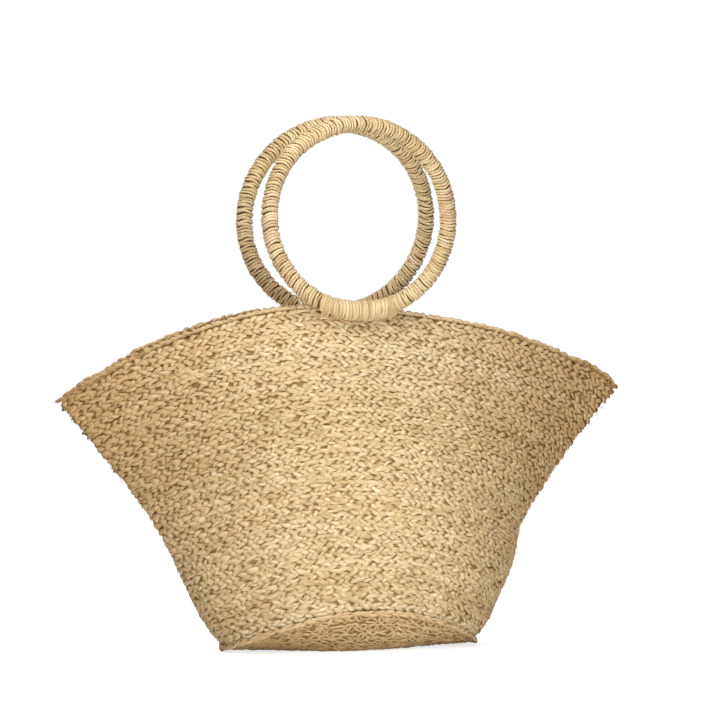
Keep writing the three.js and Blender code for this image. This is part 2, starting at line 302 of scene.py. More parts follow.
    def base_middle_point(self, angle: np.ndarray, depth: np.ndarray) -> Points:
        """Points half way through the base's thickness.

        Args:
            angle: Place round the base.
            depth: Distance in from the base's edge, the same at its ends and its sides.

        Returns:
            Points in millimetres.
        """
        half_length = self.base_length / 2.0
        half_width = self.base_width / 2.0
        x = (half_length - depth) * np.cos(angle)
        y = np.maximum(half_width - depth, 0.0) * np.sin(angle)
        share = np.hypot(x / half_length, y / half_width)
        outside = np.clip(share - self.flat_base_share, 0.0, None) / (1.0 - self.flat_base_share)
        polar = np.arctan2(y / half_width, x / half_length)
        edge = self.seam_height(polar) - self.clearance
        inner = mix(self.base_thickness, edge, outside**self.base_bulge_power)
        climb = edge - self.base_thickness
        reach = np.hypot(half_length * np.cos(polar), half_width * np.sin(polar))
        run = reach * (1.0 - self.flat_base_share)
        slope = climb * self.base_bulge_power * outside ** (self.base_bulge_power - 1.0) / run
        z = inner - self.base_thickness * np.hypot(1.0, slope) / 2.0
        return np.stack([x + self.base_side_shift, y, z], axis=-1)


@dataclass(frozen=True)
class HandleForm:
    """Form of a round handle and of the lashing that holds it to the rim."""

    side: Side
    lean_degrees: float
    outer_diameter: float
    tube_diameter: float = 13.6
    drop_below_rim: float = 12.0
    standoff: float = 1.1
    lashing_length: float = 62.0
    lashing_thickness: float = 1.2
    lashing_leg_drop: float = 13.0

    @property
    def tube_radius(self) -> float:
        """Radius of the wound tube."""
        return self.tube_diameter / 2.0

    @property
    def radius(self) -> float:
        """Radius of the ring's centre line."""
        return self.outer_diameter / 2.0 - self.tube_radius

    def seat(self, form: BasketForm) -> tuple[float, float]:
        """Distance from the middle plane and height of the centre line's lowest point.

        Args:
            form: Form of the basket that the handle is seated on.

        Returns:
            The distance and the height in millimetres.
        """
        overhang = max(form.rim_roll_width - form.wall_thickness, 0.0) / 2.0
        out = form.mouth_width / 2.0 + overhang + self.standoff + self.tube_radius
        crown = float(form.rim_height(np.array(0.0)))
        return out, crown - self.drop_below_rim + self.tube_radius

    def frame_at(self, form: BasketForm, turn: np.ndarray) -> tuple[Points, Points, Points]:
        """Centre line, outward direction and axle direction of the ring.

        Args:
            form: Form of the basket that the handle is seated on.
            turn: Angle round the ring, 0 at its lowest point.

        Returns:
            Centre line points, unit directions away from the ring's centre, and the ring's axle.
        """
        out, height = self.seat(form)
        lean = math.radians(self.lean_degrees)
        up = np.array([0.0, -self.side.value * math.sin(lean), math.cos(lean)])
        axle = np.array([0.0, self.side.value * math.cos(lean), math.sin(lean)])
        right = np.array([1.0, 0.0, 0.0])
        centre = np.array([0.0, self.side.value * out, height]) + up * self.radius
        away = np.sin(turn)[:, None] * right - np.cos(turn)[:, None] * up
        return centre + away * self.radius, away, np.broadcast_to(axle, away.shape)


@dataclass(frozen=True)
class Finish:
    """Look of one kind of straw."""

    name: str
    dark: tuple[float, float, float]
    middle: tuple[float, float, float]
    light: tuple[float, float, float]
    blush: tuple[float, float, float]
    moss: tuple[float, float, float]
    roughness: float = 0.62
    gloss: float = 0.2
    fibre_depth: float = 0.6
    # Strength of the painted shade where a straw dives under its neighbours.
    shade_in_gaps: float = 0.65
    # Strength of the painted shade along each straw's lower edge.
    shade_under_edge: float = 0.6
    # Strength of the painted shade that darkens and browns the straw towards the tips.
    painted_end_shade: float = 1.0


class Straw(Enum):
    """Finishes of the bag."""

    WALL = Finish(
        "wall_straw",
        (0.43, 0.275, 0.11),
        (0.69, 0.51, 0.275),
        (0.88, 0.75, 0.50),
        (0.70, 0.46, 0.26),
        (0.60, 0.49, 0.24),
    )
    # Painted light: lighter in its dark and middle tones than the wall straw, making up for the shade that
    # the floor casts under the base.
    BASE = Finish(
        "base_straw",
        (0.50, 0.33, 0.14),
        (0.76, 0.55, 0.29),
        (0.88, 0.71, 0.44),
        (0.74, 0.48, 0.27),
        (0.64, 0.50, 0.25),
        shade_in_gaps=0.4,
    )
    EDGE = Finish(
        "edge_straw",
        (0.44, 0.28, 0.13),
        (0.68, 0.48, 0.26),
        (0.84, 0.67, 0.42),
        (0.70, 0.43, 0.24),
        (0.58, 0.45, 0.23),
    )
    HANDLE = Finish(
        "handle_straw",
        (0.42, 0.265, 0.115),
        (0.67, 0.49, 0.26),
        (0.87, 0.72, 0.455),
        (0.68, 0.45, 0.245),
        (0.59, 0.47, 0.235),
        fibre_depth=0.25,
        shade_under_edge=0.5,
        painted_end_shade=0.0,
    )
    LASHING = Finish(
        "lashing_straw",
        (0.42, 0.265, 0.115),
        (0.67, 0.49, 0.26),
        (0.87, 0.72, 0.455),
        (0.68, 0.45, 0.245),
        (0.59, 0.47, 0.235),
        fibre_depth=0.25,
        shade_under_edge=0.5,
        painted_end_shade=0.0,
    )
    # Painted shade: near-black brown for the ring cores, seen in the slits between the wraps.
    SLIT_SHADE_CORE = Finish(
        "slit_shade_core_straw",
        (0.15, 0.085, 0.03),
        (0.21, 0.125, 0.05),
        (0.28, 0.18, 0.075),
        (0.22, 0.125, 0.055),
        (0.18, 0.13, 0.055),
        roughness=0.8,
        gloss=0.0,
        shade_under_edge=0.0,
    )
    # Painted shade: darker straw for the thin skins inside wall and base, seen only in the gaps of the plait.
    CORE = Finish(
        "core_straw",
        (0.30, 0.18, 0.065),
        (0.38, 0.24, 0.095),
        (0.46, 0.31, 0.13),
        (0.38, 0.22, 0.10),
        (0.33, 0.24, 0.10),
        roughness=0.8,
        gloss=0.0,
        shade_under_edge=0.0,
    )


@dataclass(frozen=True)
class StrawPattern:
    """Strengths of the fibres, mottling and painted shade that all straw shares, fibre_height in metres."""

    fibre_along: float = 0.09
    fibre_across: float = 4.5
    fibre_round: float = 3.0
    fibre_tone_shift: float = 4.0
    fibre_detail: float = 3.0
    fibre_contrast: float = 1.8
    fibre_height: float = 0.0004
    mottle_scale: float = 26.0
    mottle_detail: float = 2.0
    mottle_contrast: float = 0.35
    blush_from: float = 0.55
    blush_gain: float = 1.6
    moss_below: float = 0.45
    moss_gain: float = 1.4
    # Painted shade towards the tips, standing in for the light falling off there: where it starts, how fast
    # it grows, its patchiness and its colour.
    end_shade_from: float = 0.05
    end_shade_gain: float = 5.5
    end_shade_mottle: float = 0.5
    end_shade_colour: tuple[float, float, float, float] = (0.76, 0.63, 0.47, 1.0)
    # Painted shade where a straw dives under its neighbours.
    gap_below: float = 0.45
    gap_gain: float = 2.2
    gap_colour: tuple[float, float, float, float] = (0.36, 0.24, 0.13, 1.0)
    # Painted shade along one edge of each straw's section, its lower edge on the plait.
    edge_gain: float = -2.0
    edge_from: float = 0.35
    edge_strength: float = 2.2
    edge_colour: tuple[float, float, float, float] = (0.34, 0.22, 0.11, 1.0)


class StrawMaterials:
    """Procedural straw materials, one per finish, sharing one group for their colour."""

    pattern = StrawPattern()

    def __init__(self) -> None:
        """Builds the shared node group."""
        self.group = self._colour_group()
        self.made: dict[Straw, bpy.types.Material] = {}

    @classmethod
    def _colour_group(cls) -> bpy.types.ShaderNodeTree:
        """Node group from a strand's tone, warmth, depth and fibres to a colour and a bump height.

        Returns:
            The group, with the finish's colours and shading strengths as its inputs.
        """
        pattern = cls.pattern
        group = bpy.data.node_groups.new("straw_colour", "ShaderNodeTree")
        sockets = group.interface
        for name in ("Dark", "Middle", "Light", "Blush", "Moss"):
            sockets.new_socket(name, in_out="INPUT", socket_type="NodeSocketColor")
        for name in ("Shade In Gaps", "Shade Under Edge", "Painted End Shade"):
            sockets.new_socket(name, in_out="INPUT", socket_type="NodeSocketFloat")
        sockets.new_socket("Color", in_out="OUTPUT", socket_type="NodeSocketColor")
        sockets.new_socket("Height", in_out="OUTPUT", socket_type="NodeSocketFloat")
        nodes, links = group.nodes, group.links
        source = nodes.new("NodeGroupInput")
        target = nodes.new("NodeGroupOutput")

        def attribute(name: str, output: str = "Fac") -> bpy.types.NodeSocket:
            """Reads a named attribute of the mesh.

            Args:
                name: Name of the attribute.
                output: Which of the node's outputs to use.

            Returns:
                The output.
            """
            node = nodes.new("ShaderNodeAttribute")
            node.attribute_name = name
            return node.outputs[output]

        def math_node(
            kind: str, first: object, second: object, clamp: bool = False
        ) -> bpy.types.NodeSocket:
            """Works out a sum on two sockets or numbers.

            Args:
                kind: The sum's operation.
                first: Socket or number.
                second: Socket or number.
                clamp: True to keep the result from 0 to 1.

            Returns:
                The result's socket.
            """
            node = nodes.new("ShaderNodeMath")
            node.operation = kind
            node.use_clamp = clamp
            for socket, value in zip(node.inputs, (first, second)):
                if isinstance(value, bpy.types.NodeSocket):
                    links.new(value, socket)
                else:
                    socket.default_value = value
            return node.outputs[0]

        def blend(kind: str, share: object, first: object, second: object) -> bpy.types.NodeSocket:
            """Blends two colours.

            Args:
                kind: The kind of blend.
                share: Socket or number, how much of the blend shows.
                first: Socket or colour.
                second: Socket or colour.

            Returns:
                The blended colour's socket.
            """
            node = nodes.new("ShaderNodeMix")
            node.data_type = "RGBA"
            node.blend_type = kind
            for socket, value in ((node.inputs[0], share), (node.inputs[6], first), (node.inputs[7], second)):
                if isinstance(value, bpy.types.NodeSocket):
                    links.new(value, socket)
                else:
                    socket.default_value = value
            return node.outputs[2]

        along = attribute("along")
        section = nodes.new("ShaderNodeSeparateXYZ")
        links.new(attribute("across", "Vector"), section.inputs[0])
        facing, edge = section.outputs[0], section.outputs[1]
        tone = attribute("tone")
        warmth = attribute("warmth")
        lift = attribute("lift")
        place = nodes.new("ShaderNodeCombineXYZ")
        links.new(math_node("MULTIPLY", along, pattern.fibre_along), place.inputs[0])
        links.new(math_node("MULTIPLY", edge, pattern.fibre_across), place.inputs[1])
        round_section = math_node("MULTIPLY", facing, pattern.fibre_round)
        tone_shift = math_node("MULTIPLY", tone, pattern.fibre_tone_shift)
        links.new(math_node("ADD", round_section, tone_shift), place.inputs[2])
        fibre = nodes.new("ShaderNodeTexNoise")
        fibre.inputs["Scale"].default_value = 1.0
        fibre.inputs["Detail"].default_value = pattern.fibre_detail
        links.new(place.outputs[0], fibre.inputs["Vector"])
        coarse_place = nodes.new("ShaderNodeTexCoord")
        mottle = nodes.new("ShaderNodeTexNoise")
        mottle.inputs["Scale"].default_value = pattern.mottle_scale
        mottle.inputs["Detail"].default_value = pattern.mottle_detail
        links.new(coarse_place.outputs["Object"], mottle.inputs["Vector"])
        fibre_part = math_node("SUBTRACT", fibre.outputs["Fac"], 0.5)
        fibre_part = math_node("MULTIPLY", fibre_part, pattern.fibre_contrast)
        mottle_part = math_node("SUBTRACT", mottle.outputs["Fac"], 0.5)
        mottle_part = math_node("MULTIPLY", mottle_part, pattern.mottle_contrast)
        level = math_node("ADD", math_node("ADD", tone, fibre_part), mottle_part, clamp=True)
        lower = math_node("MULTIPLY", level, 2.0, clamp=True)
        upper = math_node("SUBTRACT", math_node("MULTIPLY", level, 2.0), 1.0, clamp=True)
        shade = blend("MIX", lower, source.outputs["Dark"], source.outputs["Middle"])
        shade = blend("MIX", upper, shade, source.outputs["Light"])
        rosy = math_node("SUBTRACT", warmth, pattern.blush_from)
        rosy = math_node("MULTIPLY", rosy, pattern.blush_gain, clamp=True)
        mossy = math_node("SUBTRACT", pattern.moss_below, warmth)
        mossy = math_node("MULTIPLY", mossy, pattern.moss_gain, clamp=True)
        shade = blend("MIX", rosy, shade, source.outputs["Blush"])
        shade = blend("MIX", mossy, shade, source.outputs["Moss"])
        # Painted shade: the straw darkens and browns with distance from the middle towards both tips,
        # standing in for the light falling off there.
        apart = nodes.new("ShaderNodeSeparateXYZ")
        links.new(coarse_place.outputs["Object"], apart.inputs[0])
        outside = math_node("ABSOLUTE", apart.outputs[0], 0.0)
        outside = math_node("SUBTRACT", outside, pattern.end_shade_from)
        outside = math_node("MULTIPLY", outside, pattern.end_shade_gain, clamp=True)
        patches = math_node("MULTIPLY", mottle_part, pattern.end_shade_mottle)
        outside = math_node("ADD", outside, patches, clamp=True)
        outside = math_node("MULTIPLY", outside, source.outputs["Painted End Shade"])
        shade = blend("MULTIPLY", outside, shade, pattern.end_shade_colour)
        # Painted shade: a straw darkens where it dives under its neighbours (low lift).
        sunk = math_node("SUBTRACT", pattern.gap_below, lift, clamp=True)
        sunk = math_node("MULTIPLY", sunk, pattern.gap_gain, clamp=True)
        sunk = math_node("MULTIPLY", sunk, source.outputs["Shade In Gaps"])
        shade = blend("MULTIPLY", sunk, shade, pattern.gap_colour)
        # Painted shade: each straw darkens along one edge of its section, its lower edge on the plait.
        under = math_node("MULTIPLY", edge, pattern.edge_gain)
        under = math_node("SUBTRACT", under, pattern.edge_from, clamp=True)
        under = math_node("MULTIPLY", under, pattern.edge_strength, clamp=True)
        under = math_node("MULTIPLY", under, source.outputs["Shade Under Edge"])
        shade = blend("MULTIPLY", under, shade, pattern.edge_colour)
        links.new(shade, target.inputs["Color"])
        links.new(fibre.outputs["Fac"], target.inputs["Height"])
        return group

    def get(self, straw: Straw) -> bpy.types.Material:
        """The material of a finish, made at its first use.

        Args:
            straw: The finish.

        Returns:
            The material that all pieces of that finish share.
        """
        if straw in self.made:
            return self.made[straw]
        finish = straw.value
        material = bpy.data.materials.new(finish.name)
        material.use_nodes = True
        nodes, links = material.node_tree.nodes, material.node_tree.links
        surface = nodes["Principled BSDF"]
        colour = nodes.new("ShaderNodeGroup")
        colour.node_tree = self.group
        for name, value in (
            ("Dark", (*finish.dark, 1.0)),
            ("Middle", (*finish.middle, 1.0)),
            ("Light", (*finish.light, 1.0)),
            ("Blush", (*finish.blush, 1.0)),
            ("Moss", (*finish.moss, 1.0)),
            ("Shade In Gaps", finish.shade_in_gaps),
            ("Shade Under Edge", finish.shade_under_edge),
            ("Painted End Shade", finish.painted_end_shade),
        ):
            colour.inputs[name].default_value = value
        links.new(colour.outputs["Color"], surface.inputs["Base Color"])
        surface.inputs["Roughness"].default_value = finish.roughness
        surface.inputs["Specular IOR Level"].default_value = finish.gloss
        bump = nodes.new("ShaderNodeBump")
        bump.inputs["Strength"].default_value = finish.fibre_depth
        bump.inputs["Distance"].default_value = self.pattern.fibre_height
        links.new(colour.outputs["Height"], bump.inputs["Height"])
        links.new(bump.outputs["Normal"], surface.inputs["Normal"])
        self.made[straw] = material
        return material


@dataclass
class StrandRun:
    """Centre lines of equal kind, gathered before they are swept."""

    points: list[np.ndarray]
    values: list[dict[str, np.ndarray]]
    closed: bool = True

    @classmethod
    def empty(cls, closed: bool = True) -> "StrandRun":
        """A run with no strands, whose strands will be closed or open."""
        return cls([], [], closed)

    def add(self, points: np.ndarray, **values: np.ndarray) -> None:
        """Adds one strand.

        Args:
            points: Centre line in millimetres.
            values: Its attributes by name: lie, girth, tone, warmth, along and lift.
        """
        self.points.append(points)
        self.values.append(values)

    def centre_lines(self, name: str) -> bpy.types.Object:
        """Makes one object of edge chains with the strands' attributes.

        Args:
            name: Name of the new object.

        Returns:
            The object, whose mesh has edges only.
        """
        counts = [len(points) for points in self.points]
        edges = []
        start = 0
        for count in counts:
            here = np.arange(count) + start
            chain = np.stack([here, np.roll(here, -1)], axis=1)
            edges.append(chain if self.closed else chain[:-1])
            start += count
        mesh = bpy.data.meshes.new(name)
        mesh.vertices.add(start)
        mesh.vertices.foreach_set("co", (np.concatenate(self.points) / METRE).astype(np.float32).ravel())
        joined = np.concatenate(edges)
        mesh.edges.add(len(joined))
        mesh.edges.foreach_set("vertices", joined.astype(np.int32).ravel())
        for key in self.values[0]:
            data = np.concatenate([values[key] for values in self.values]).astype(np.float32)
            if data.ndim == 2:
                layer = mesh.attributes.new(key, "FLOAT_VECTOR", "POINT")
                layer.data.foreach_set("vector", data.ravel())
            else:
                layer = mesh.attributes.new(key, "FLOAT", "POINT")
                layer.data.foreach_set("value", data)
        mesh.update()
        lines = bpy.data.objects.new(name, mesh)
        bpy.context.scene.collection.objects.link(lines)
        return lines


class StrandSweeper:
    """Sweeps an oval straw section along centre lines with Geometry Nodes."""

    def __init__(self) -> None:
        """Builds the node tree once for all pieces."""
        self.tree = self._build_tree()

    @staticmethod
    def _build_tree() -> bpy.types.GeometryNodeTree:
        """Builds the tree: edge chains to curves, normals from the lie attribute, oval section.

        Returns:
            The tree, with the section's size and the finish as its inputs.
        """
        tree = bpy.data.node_groups.new("sweep_strands", "GeometryNodeTree")
        face = tree.interface
        face.new_socket("Geometry", in_out="INPUT", socket_type="NodeSocketGeometry")
        for name in ("Section Width", "Section Thickness"):
            face.new_socket(name, in_out="INPUT", socket_type="NodeSocketFloat")
        face.new_socket("Section Sides", in_out="INPUT", socket_type="NodeSocketInt")
        face.new_socket("Finish", in_out="INPUT", socket_type="NodeSocketMaterial")
        face.new_socket("Geometry", in_out="OUTPUT", socket_type="NodeSocketGeometry")
        nodes, links = tree.nodes, tree.links
        source = nodes.new("NodeGroupInput")
        target = nodes.new("NodeGroupOutput")

        def attribute(name: str, kind: str) -> bpy.types.NodeSocket:
            """Reads a named attribute of the centre lines.

            Args:
                name: Name of the attribute.
                kind: Its data type.

            Returns:
                The attribute's socket.
            """
            node = nodes.new("GeometryNodeInputNamedAttribute")
            node.data_type = kind
            node.inputs["Name"].default_value = name
            return node.outputs["Attribute"]

        curve = nodes.new("GeometryNodeMeshToCurve")
        normal = nodes.new("GeometryNodeSetCurveNormal")
        normal.mode = "FREE"
        circle = nodes.new("GeometryNodeCurvePrimitiveCircle")
        circle.inputs["Radius"].default_value = 0.5
        around = nodes.new("GeometryNodeInputPosition")
        keep = nodes.new("GeometryNodeStoreNamedAttribute")
        keep.data_type = "FLOAT_VECTOR"
        keep.inputs["Name"].default_value = "across"
        scale = nodes.new("ShaderNodeCombineXYZ")
        oval = nodes.new("GeometryNodeTransform")
        sweep = nodes.new("GeometryNodeCurveToMesh")
        smooth = nodes.new("GeometryNodeSetShadeSmooth")
        finish = nodes.new("GeometryNodeSetMaterial")
        real = nodes.new("GeometryNodeRealizeInstances")
        links.new(source.outputs["Geometry"], curve.inputs["Mesh"])
        links.new(curve.outputs["Curve"], normal.inputs["Curve"])
        links.new(attribute("lie", "FLOAT_VECTOR"), normal.inputs["Normal"])
        links.new(source.outputs["Section Sides"], circle.inputs["Resolution"])
        links.new(circle.outputs["Curve"], keep.inputs["Geometry"])
        links.new(around.outputs["Position"], keep.inputs["Value"])
        links.new(keep.outputs["Geometry"], oval.inputs["Geometry"])
        links.new(source.outputs["Section Thickness"], scale.inputs[0])
        links.new(source.outputs["Section Width"], scale.inputs[1])
        scale.inputs[2].default_value = 1.0
        links.new(scale.outputs[0], oval.inputs["Scale"])
        links.new(normal.outputs["Curve"], sweep.inputs["Curve"])
        links.new(oval.outputs["Geometry"], sweep.inputs["Profile Curve"])
        links.new(attribute("girth", "FLOAT"), sweep.inputs["Scale"])
        sweep.inputs["Fill Caps"].default_value = True
        links.new(sweep.outputs["Mesh"], smooth.inputs["Geometry"])
        links.new(smooth.outputs["Geometry"], finish.inputs["Geometry"])
        links.new(source.outputs["Finish"], finish.inputs["Material"])
        links.new(finish.outputs["Geometry"], real.inputs["Geometry"])
        links.new(real.outputs["Geometry"], target.inputs["Geometry"])
        return tree

    def sweep(
        self,
        run: StrandRun,
        name: str,
        width: float,
        thickness: float,
        sides: int,
        finish: bpy.types.Material,
    ) -> bpy.types.Object:
        """Sweeps a run of strands to one plain mesh object.

        Args:
            run: The strands.
            name: Name of the new object.
            width: Width of the straw in millimetres.
            thickness: Thickness of the straw in millimetres.
            sides: Number of sides of the section.
            finish: Material of the straw.

        Returns:
            The swept object, with its modifier applied.
        """
        lines = run.centre_lines(name + "_lines")
        modifier = lines.modifiers.new("sweep", "NODES")
        modifier.node_group = self.tree
        settings = {
            "Section Width": width / METRE,
            "Section Thickness": thickness / METRE,
            "Section Sides": sides,
            "Finish": finish,
        }
        for item in self.tree.interface.items_tree:
            if item.item_type == "SOCKET" and item.in_out == "INPUT" and item.name in settings:
                modifier[item.identifier] = settings[item.name]
        bpy.context.view_layer.update()
        graph = bpy.context.evaluated_depsgraph_get()
        mesh = bpy.data.meshes.new_from_object(lines.evaluated_get(graph), depsgraph=graph)
        mesh.name = name
        piece = bpy.data.objects.new(name, mesh)
        bpy.context.scene.collection.objects.link(piece)
        old = lines.data
        bpy.data.objects.remove(lines)
        bpy.data.meshes.remove(old)
        return piece


@dataclass(frozen=True)
class Plait:
    """Flat plait of three straws, laid along a surface."""

    pitch: float = 6.15
    period: float = 19.2
    reach: float = 2.3
    rise: float = 0.75
    straw_width: float = 3.5
    straw_thickness: float = 1.5
    points_per_period: int = 13
    sides: int = 6
    leaf_swell: float = 0.3
    lift_sharpness: float = 1.0
    lift_lead_degrees: float = 22.0
    shingle_tilt: float = 0.4
    row_lap: float = 0.2
    unevenness: float = 1.5
    sway: float = 0.025
    sway_waves: int = 40
    pace: float = 0.35
    pace_waves: int = 22
    jitter: float = 0.22
    width_spread: float = 0.1
    stray: float = 0.04
    rise_spread: float = 0.15
    splice_tone: float = 0.07
    straw_tone: float = 0.04
    splice_warmth: float = 0.07
    track_steps: int = 3001

    def lay(
        self,
        run: StrandRun,
        middle: Surface,
        rng: np.random.Generator,
        tone: float,
        warmth: float,
        outward: float = 1.0,
    ) -> None:
        """Lays one closed turn of the plait.

        Args:
            run: Receives the three straws.
            middle: Gives points for angles round the turn and offsets across it, in millimetres.
            rng: Random source for the unevenness of hand work.
            tone: Lightness of this turn, 0 to 1.
            warmth: Hue of this turn, from 0 for moss to 1 for blush.
            outward: 1 if angle times offset points outwards, or -1.
        """
        fine = np.linspace(0.0, TURN, self.track_steps)
        track = middle(fine, np.zeros_like(fine))
        steps = np.linalg.norm(np.diff(track, axis=0), axis=1)
        travelled = np.concatenate([[0.0], np.cumsum(steps)])
        length = travelled[-1]
        periods = max(round(length / self.period), 3)
        count = periods * self.points_per_period
        share = np.arange(count) / count
        angle = np.interp(share * length, travelled, fine)
        lead = math.radians(self.lift_lead_degrees)
        start = rng.uniform(0.0, TURN)
        sway = slow_wave(share, rng, self.sway_waves) * self.sway * self.pitch * self.unevenness
        pace = slow_wave(share, rng, self.pace_waves) * self.pace * self.unevenness
        for straw in range(3):
            jitter = slow_wave(share, rng, 2 * periods) * self.jitter * self.unevenness
            turn = TURN * (periods * share + straw / 3.0) + start + pace + jitter
            wide = 1.0 + slow_wave(share, rng, 2 * periods) * self.width_spread * self.unevenness
            stray = slow_wave(share, rng, 2 * periods) * self.stray * self.pitch * self.unevenness
            side = self.reach * np.sin(turn) + sway + stray
            wave = np.tanh(self.lift_sharpness * np.sin(2.0 * turn - lead)) / math.tanh(self.lift_sharpness)
            lift = self.rise * wave * (1.0 + self.rise_spread * slow_wave(share, rng, 2 * periods))
            place = middle(angle, side)
            ahead = middle(angle + SMALL_TURN, side) - middle(angle - SMALL_TURN, side)
            above = middle(angle, side + 0.2) - middle(angle, side - 0.2)
            normal = unit(np.cross(ahead, above)) * outward
            lift = lift - self.row_lap * side / self.pitch
            leaf = 1.0 + self.leaf_swell * np.sin(2.0 * turn - lead)
            light = self.splice_tone * slow_wave(share, rng, periods) + rng.normal() * self.straw_tone
            warm = self.splice_warmth * slow_wave(share, rng, max(periods // 2, 2))
            run.add(
                place + normal * lift[:, None],
                lie=unit(normal + self.shingle_tilt * unit(above)),
                girth=wide * leaf,
                tone=np.clip(tone + light, 0.0, 1.0),
                warmth=np.clip(warmth + warm, 0.0, 1.0),
                along=share * length + rng.uniform(0.0, FIBRE_START),
                lift=0.5 + 0.5 * np.sin(2.0 * turn - lead),
            )


class BagBuilder:
    """Tools and form shared by the classes that build the bag's pieces."""

    def __init__(self) -> None:
        """Makes the form, the sweeper and the materials."""
        self.form = BasketForm()
        self.sweeper = StrandSweeper()
        self.materials = StrawMaterials()

    def finish_piece(self, piece: bpy.types.Object, node: str) -> bpy.types.Object:
        """Ties a piece to the bag's body and hides the solid that it stands for.

        Args:
            piece: The finished object.
            node: Name of the solid.

        Returns:
            The same object.
        """
        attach(piece, "root")
        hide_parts(node)
        LOG.info("%s: %d triangles", piece.name, sum(len(p.vertices) - 2 for p in piece.data.polygons))
        return piece

    def weave(self, run: StrandRun, name: str, plait: Plait, straw: Straw, node: str) -> None:
        """Sweeps the straws of a plait and finishes them as one piece.

        Args:
            run: The straws.
            name: Name of the piece.
            plait: Gives the straw's section.
            straw: Finish of the straw.
            node: Name of the solid that the piece stands for.
        """
        width, thickness, finish = plait.straw_width, plait.straw_thickness, self.materials.get(straw)
        self.finish_piece(self.sweeper.sweep(run, name, width, thickness, plait.sides, finish), node)


@dataclass(frozen=True)
class PlaitedWall:
    """Wall of plait laid in rising turns and sewn edge to edge, on a thin inner skin."""

    rows: int = 38
    bands: int = 5
    seed: int = 11
    plait: Plait = Plait()
    core_steps: int = 110
    core_rows: int = 24
    core_half_thickness: float = 0.08
    core_sink: float = 0.4
    core_foot_rise: float = -0.005
    core_top_rise: float = 1.012
    tone: float = 0.55
    tone_spread: float = 0.07
    warmth: float = 0.5
    warmth_spread: float = 0.08
    row_difference: float = 0.6

    def build(self, bag: BagBuilder) -> None:
        """Builds the plaited bands and the skin between them.

        Args:
            bag: The bag's form, sweeper and materials.
        """
        rng = np.random.default_rng(self.seed)
        form = bag.form
        middle_inset = form.wall_thickness / 2.0
        splits = np.array_split(np.arange(self.rows), self.bands)
        tones = self._row_values(rng, self.tone, self.tone_spread)
        warmths = self._row_values(rng, self.warmth, self.warmth_spread)
        for band, rows in enumerate(splits):
            run = StrandRun.empty()
            for row in rows:

                def middle(angle: np.ndarray, side: np.ndarray, row: int = int(row)) -> Points:
                    """Points of this row, half way through the wall."""
                    rise = (row + 0.5 + side / self.plait.pitch) / self.rows
                    return form.wall_point(angle, rise, middle_inset)

                self.plait.lay(run, middle, rng, float(tones[row]), float(warmths[row]))
            bag.weave(run, f"wall_plait_{band + 1}", self.plait, Straw.WALL, "wall")
        bag.finish_piece(self._core(bag), "wall")

    def _row_values(self, rng: np.random.Generator, middle: float, spread: float) -> np.ndarray:
        """A value per row that drifts from row to row."""
        drift = np.convolve(rng.normal(size=self.rows + 4), np.ones(3) / 3.0, mode="valid")
        return middle + spread * (drift[: self.rows] + self.row_difference * rng.normal(size=self.rows))

    def _core(self, bag: BagBuilder) -> bpy.types.Object:
        """Thin closed skin in the middle of the wall, seen only in the gaps of the plait, in darker straw
        that paints the shade in those gaps.

        Args:
            bag: The bag's form, sweeper and materials.

        Returns:
            The skin.
        """
        form = bag.form
        angles = np.linspace(0.0, TURN, self.core_steps, endpoint=False)
        rises = np.linspace(self.core_foot_rise, self.core_top_rise, self.core_rows)
        grid_angle, grid_rise = np.meshgrid(angles, rises, indexing="ij")
        middle_inset = form.wall_thickness / 2.0 + self.core_sink
        outer = form.wall_point(grid_angle, grid_rise, middle_inset - self.core_half_thickness)
        inner = form.wall_point(grid_angle, grid_rise, middle_inset + self.core_half_thickness)
        sections = np.concatenate([outer, inner[:, ::-1]], axis=1)
        return closed_band("wall_skin", sections, bag.materials.get(Straw.CORE))


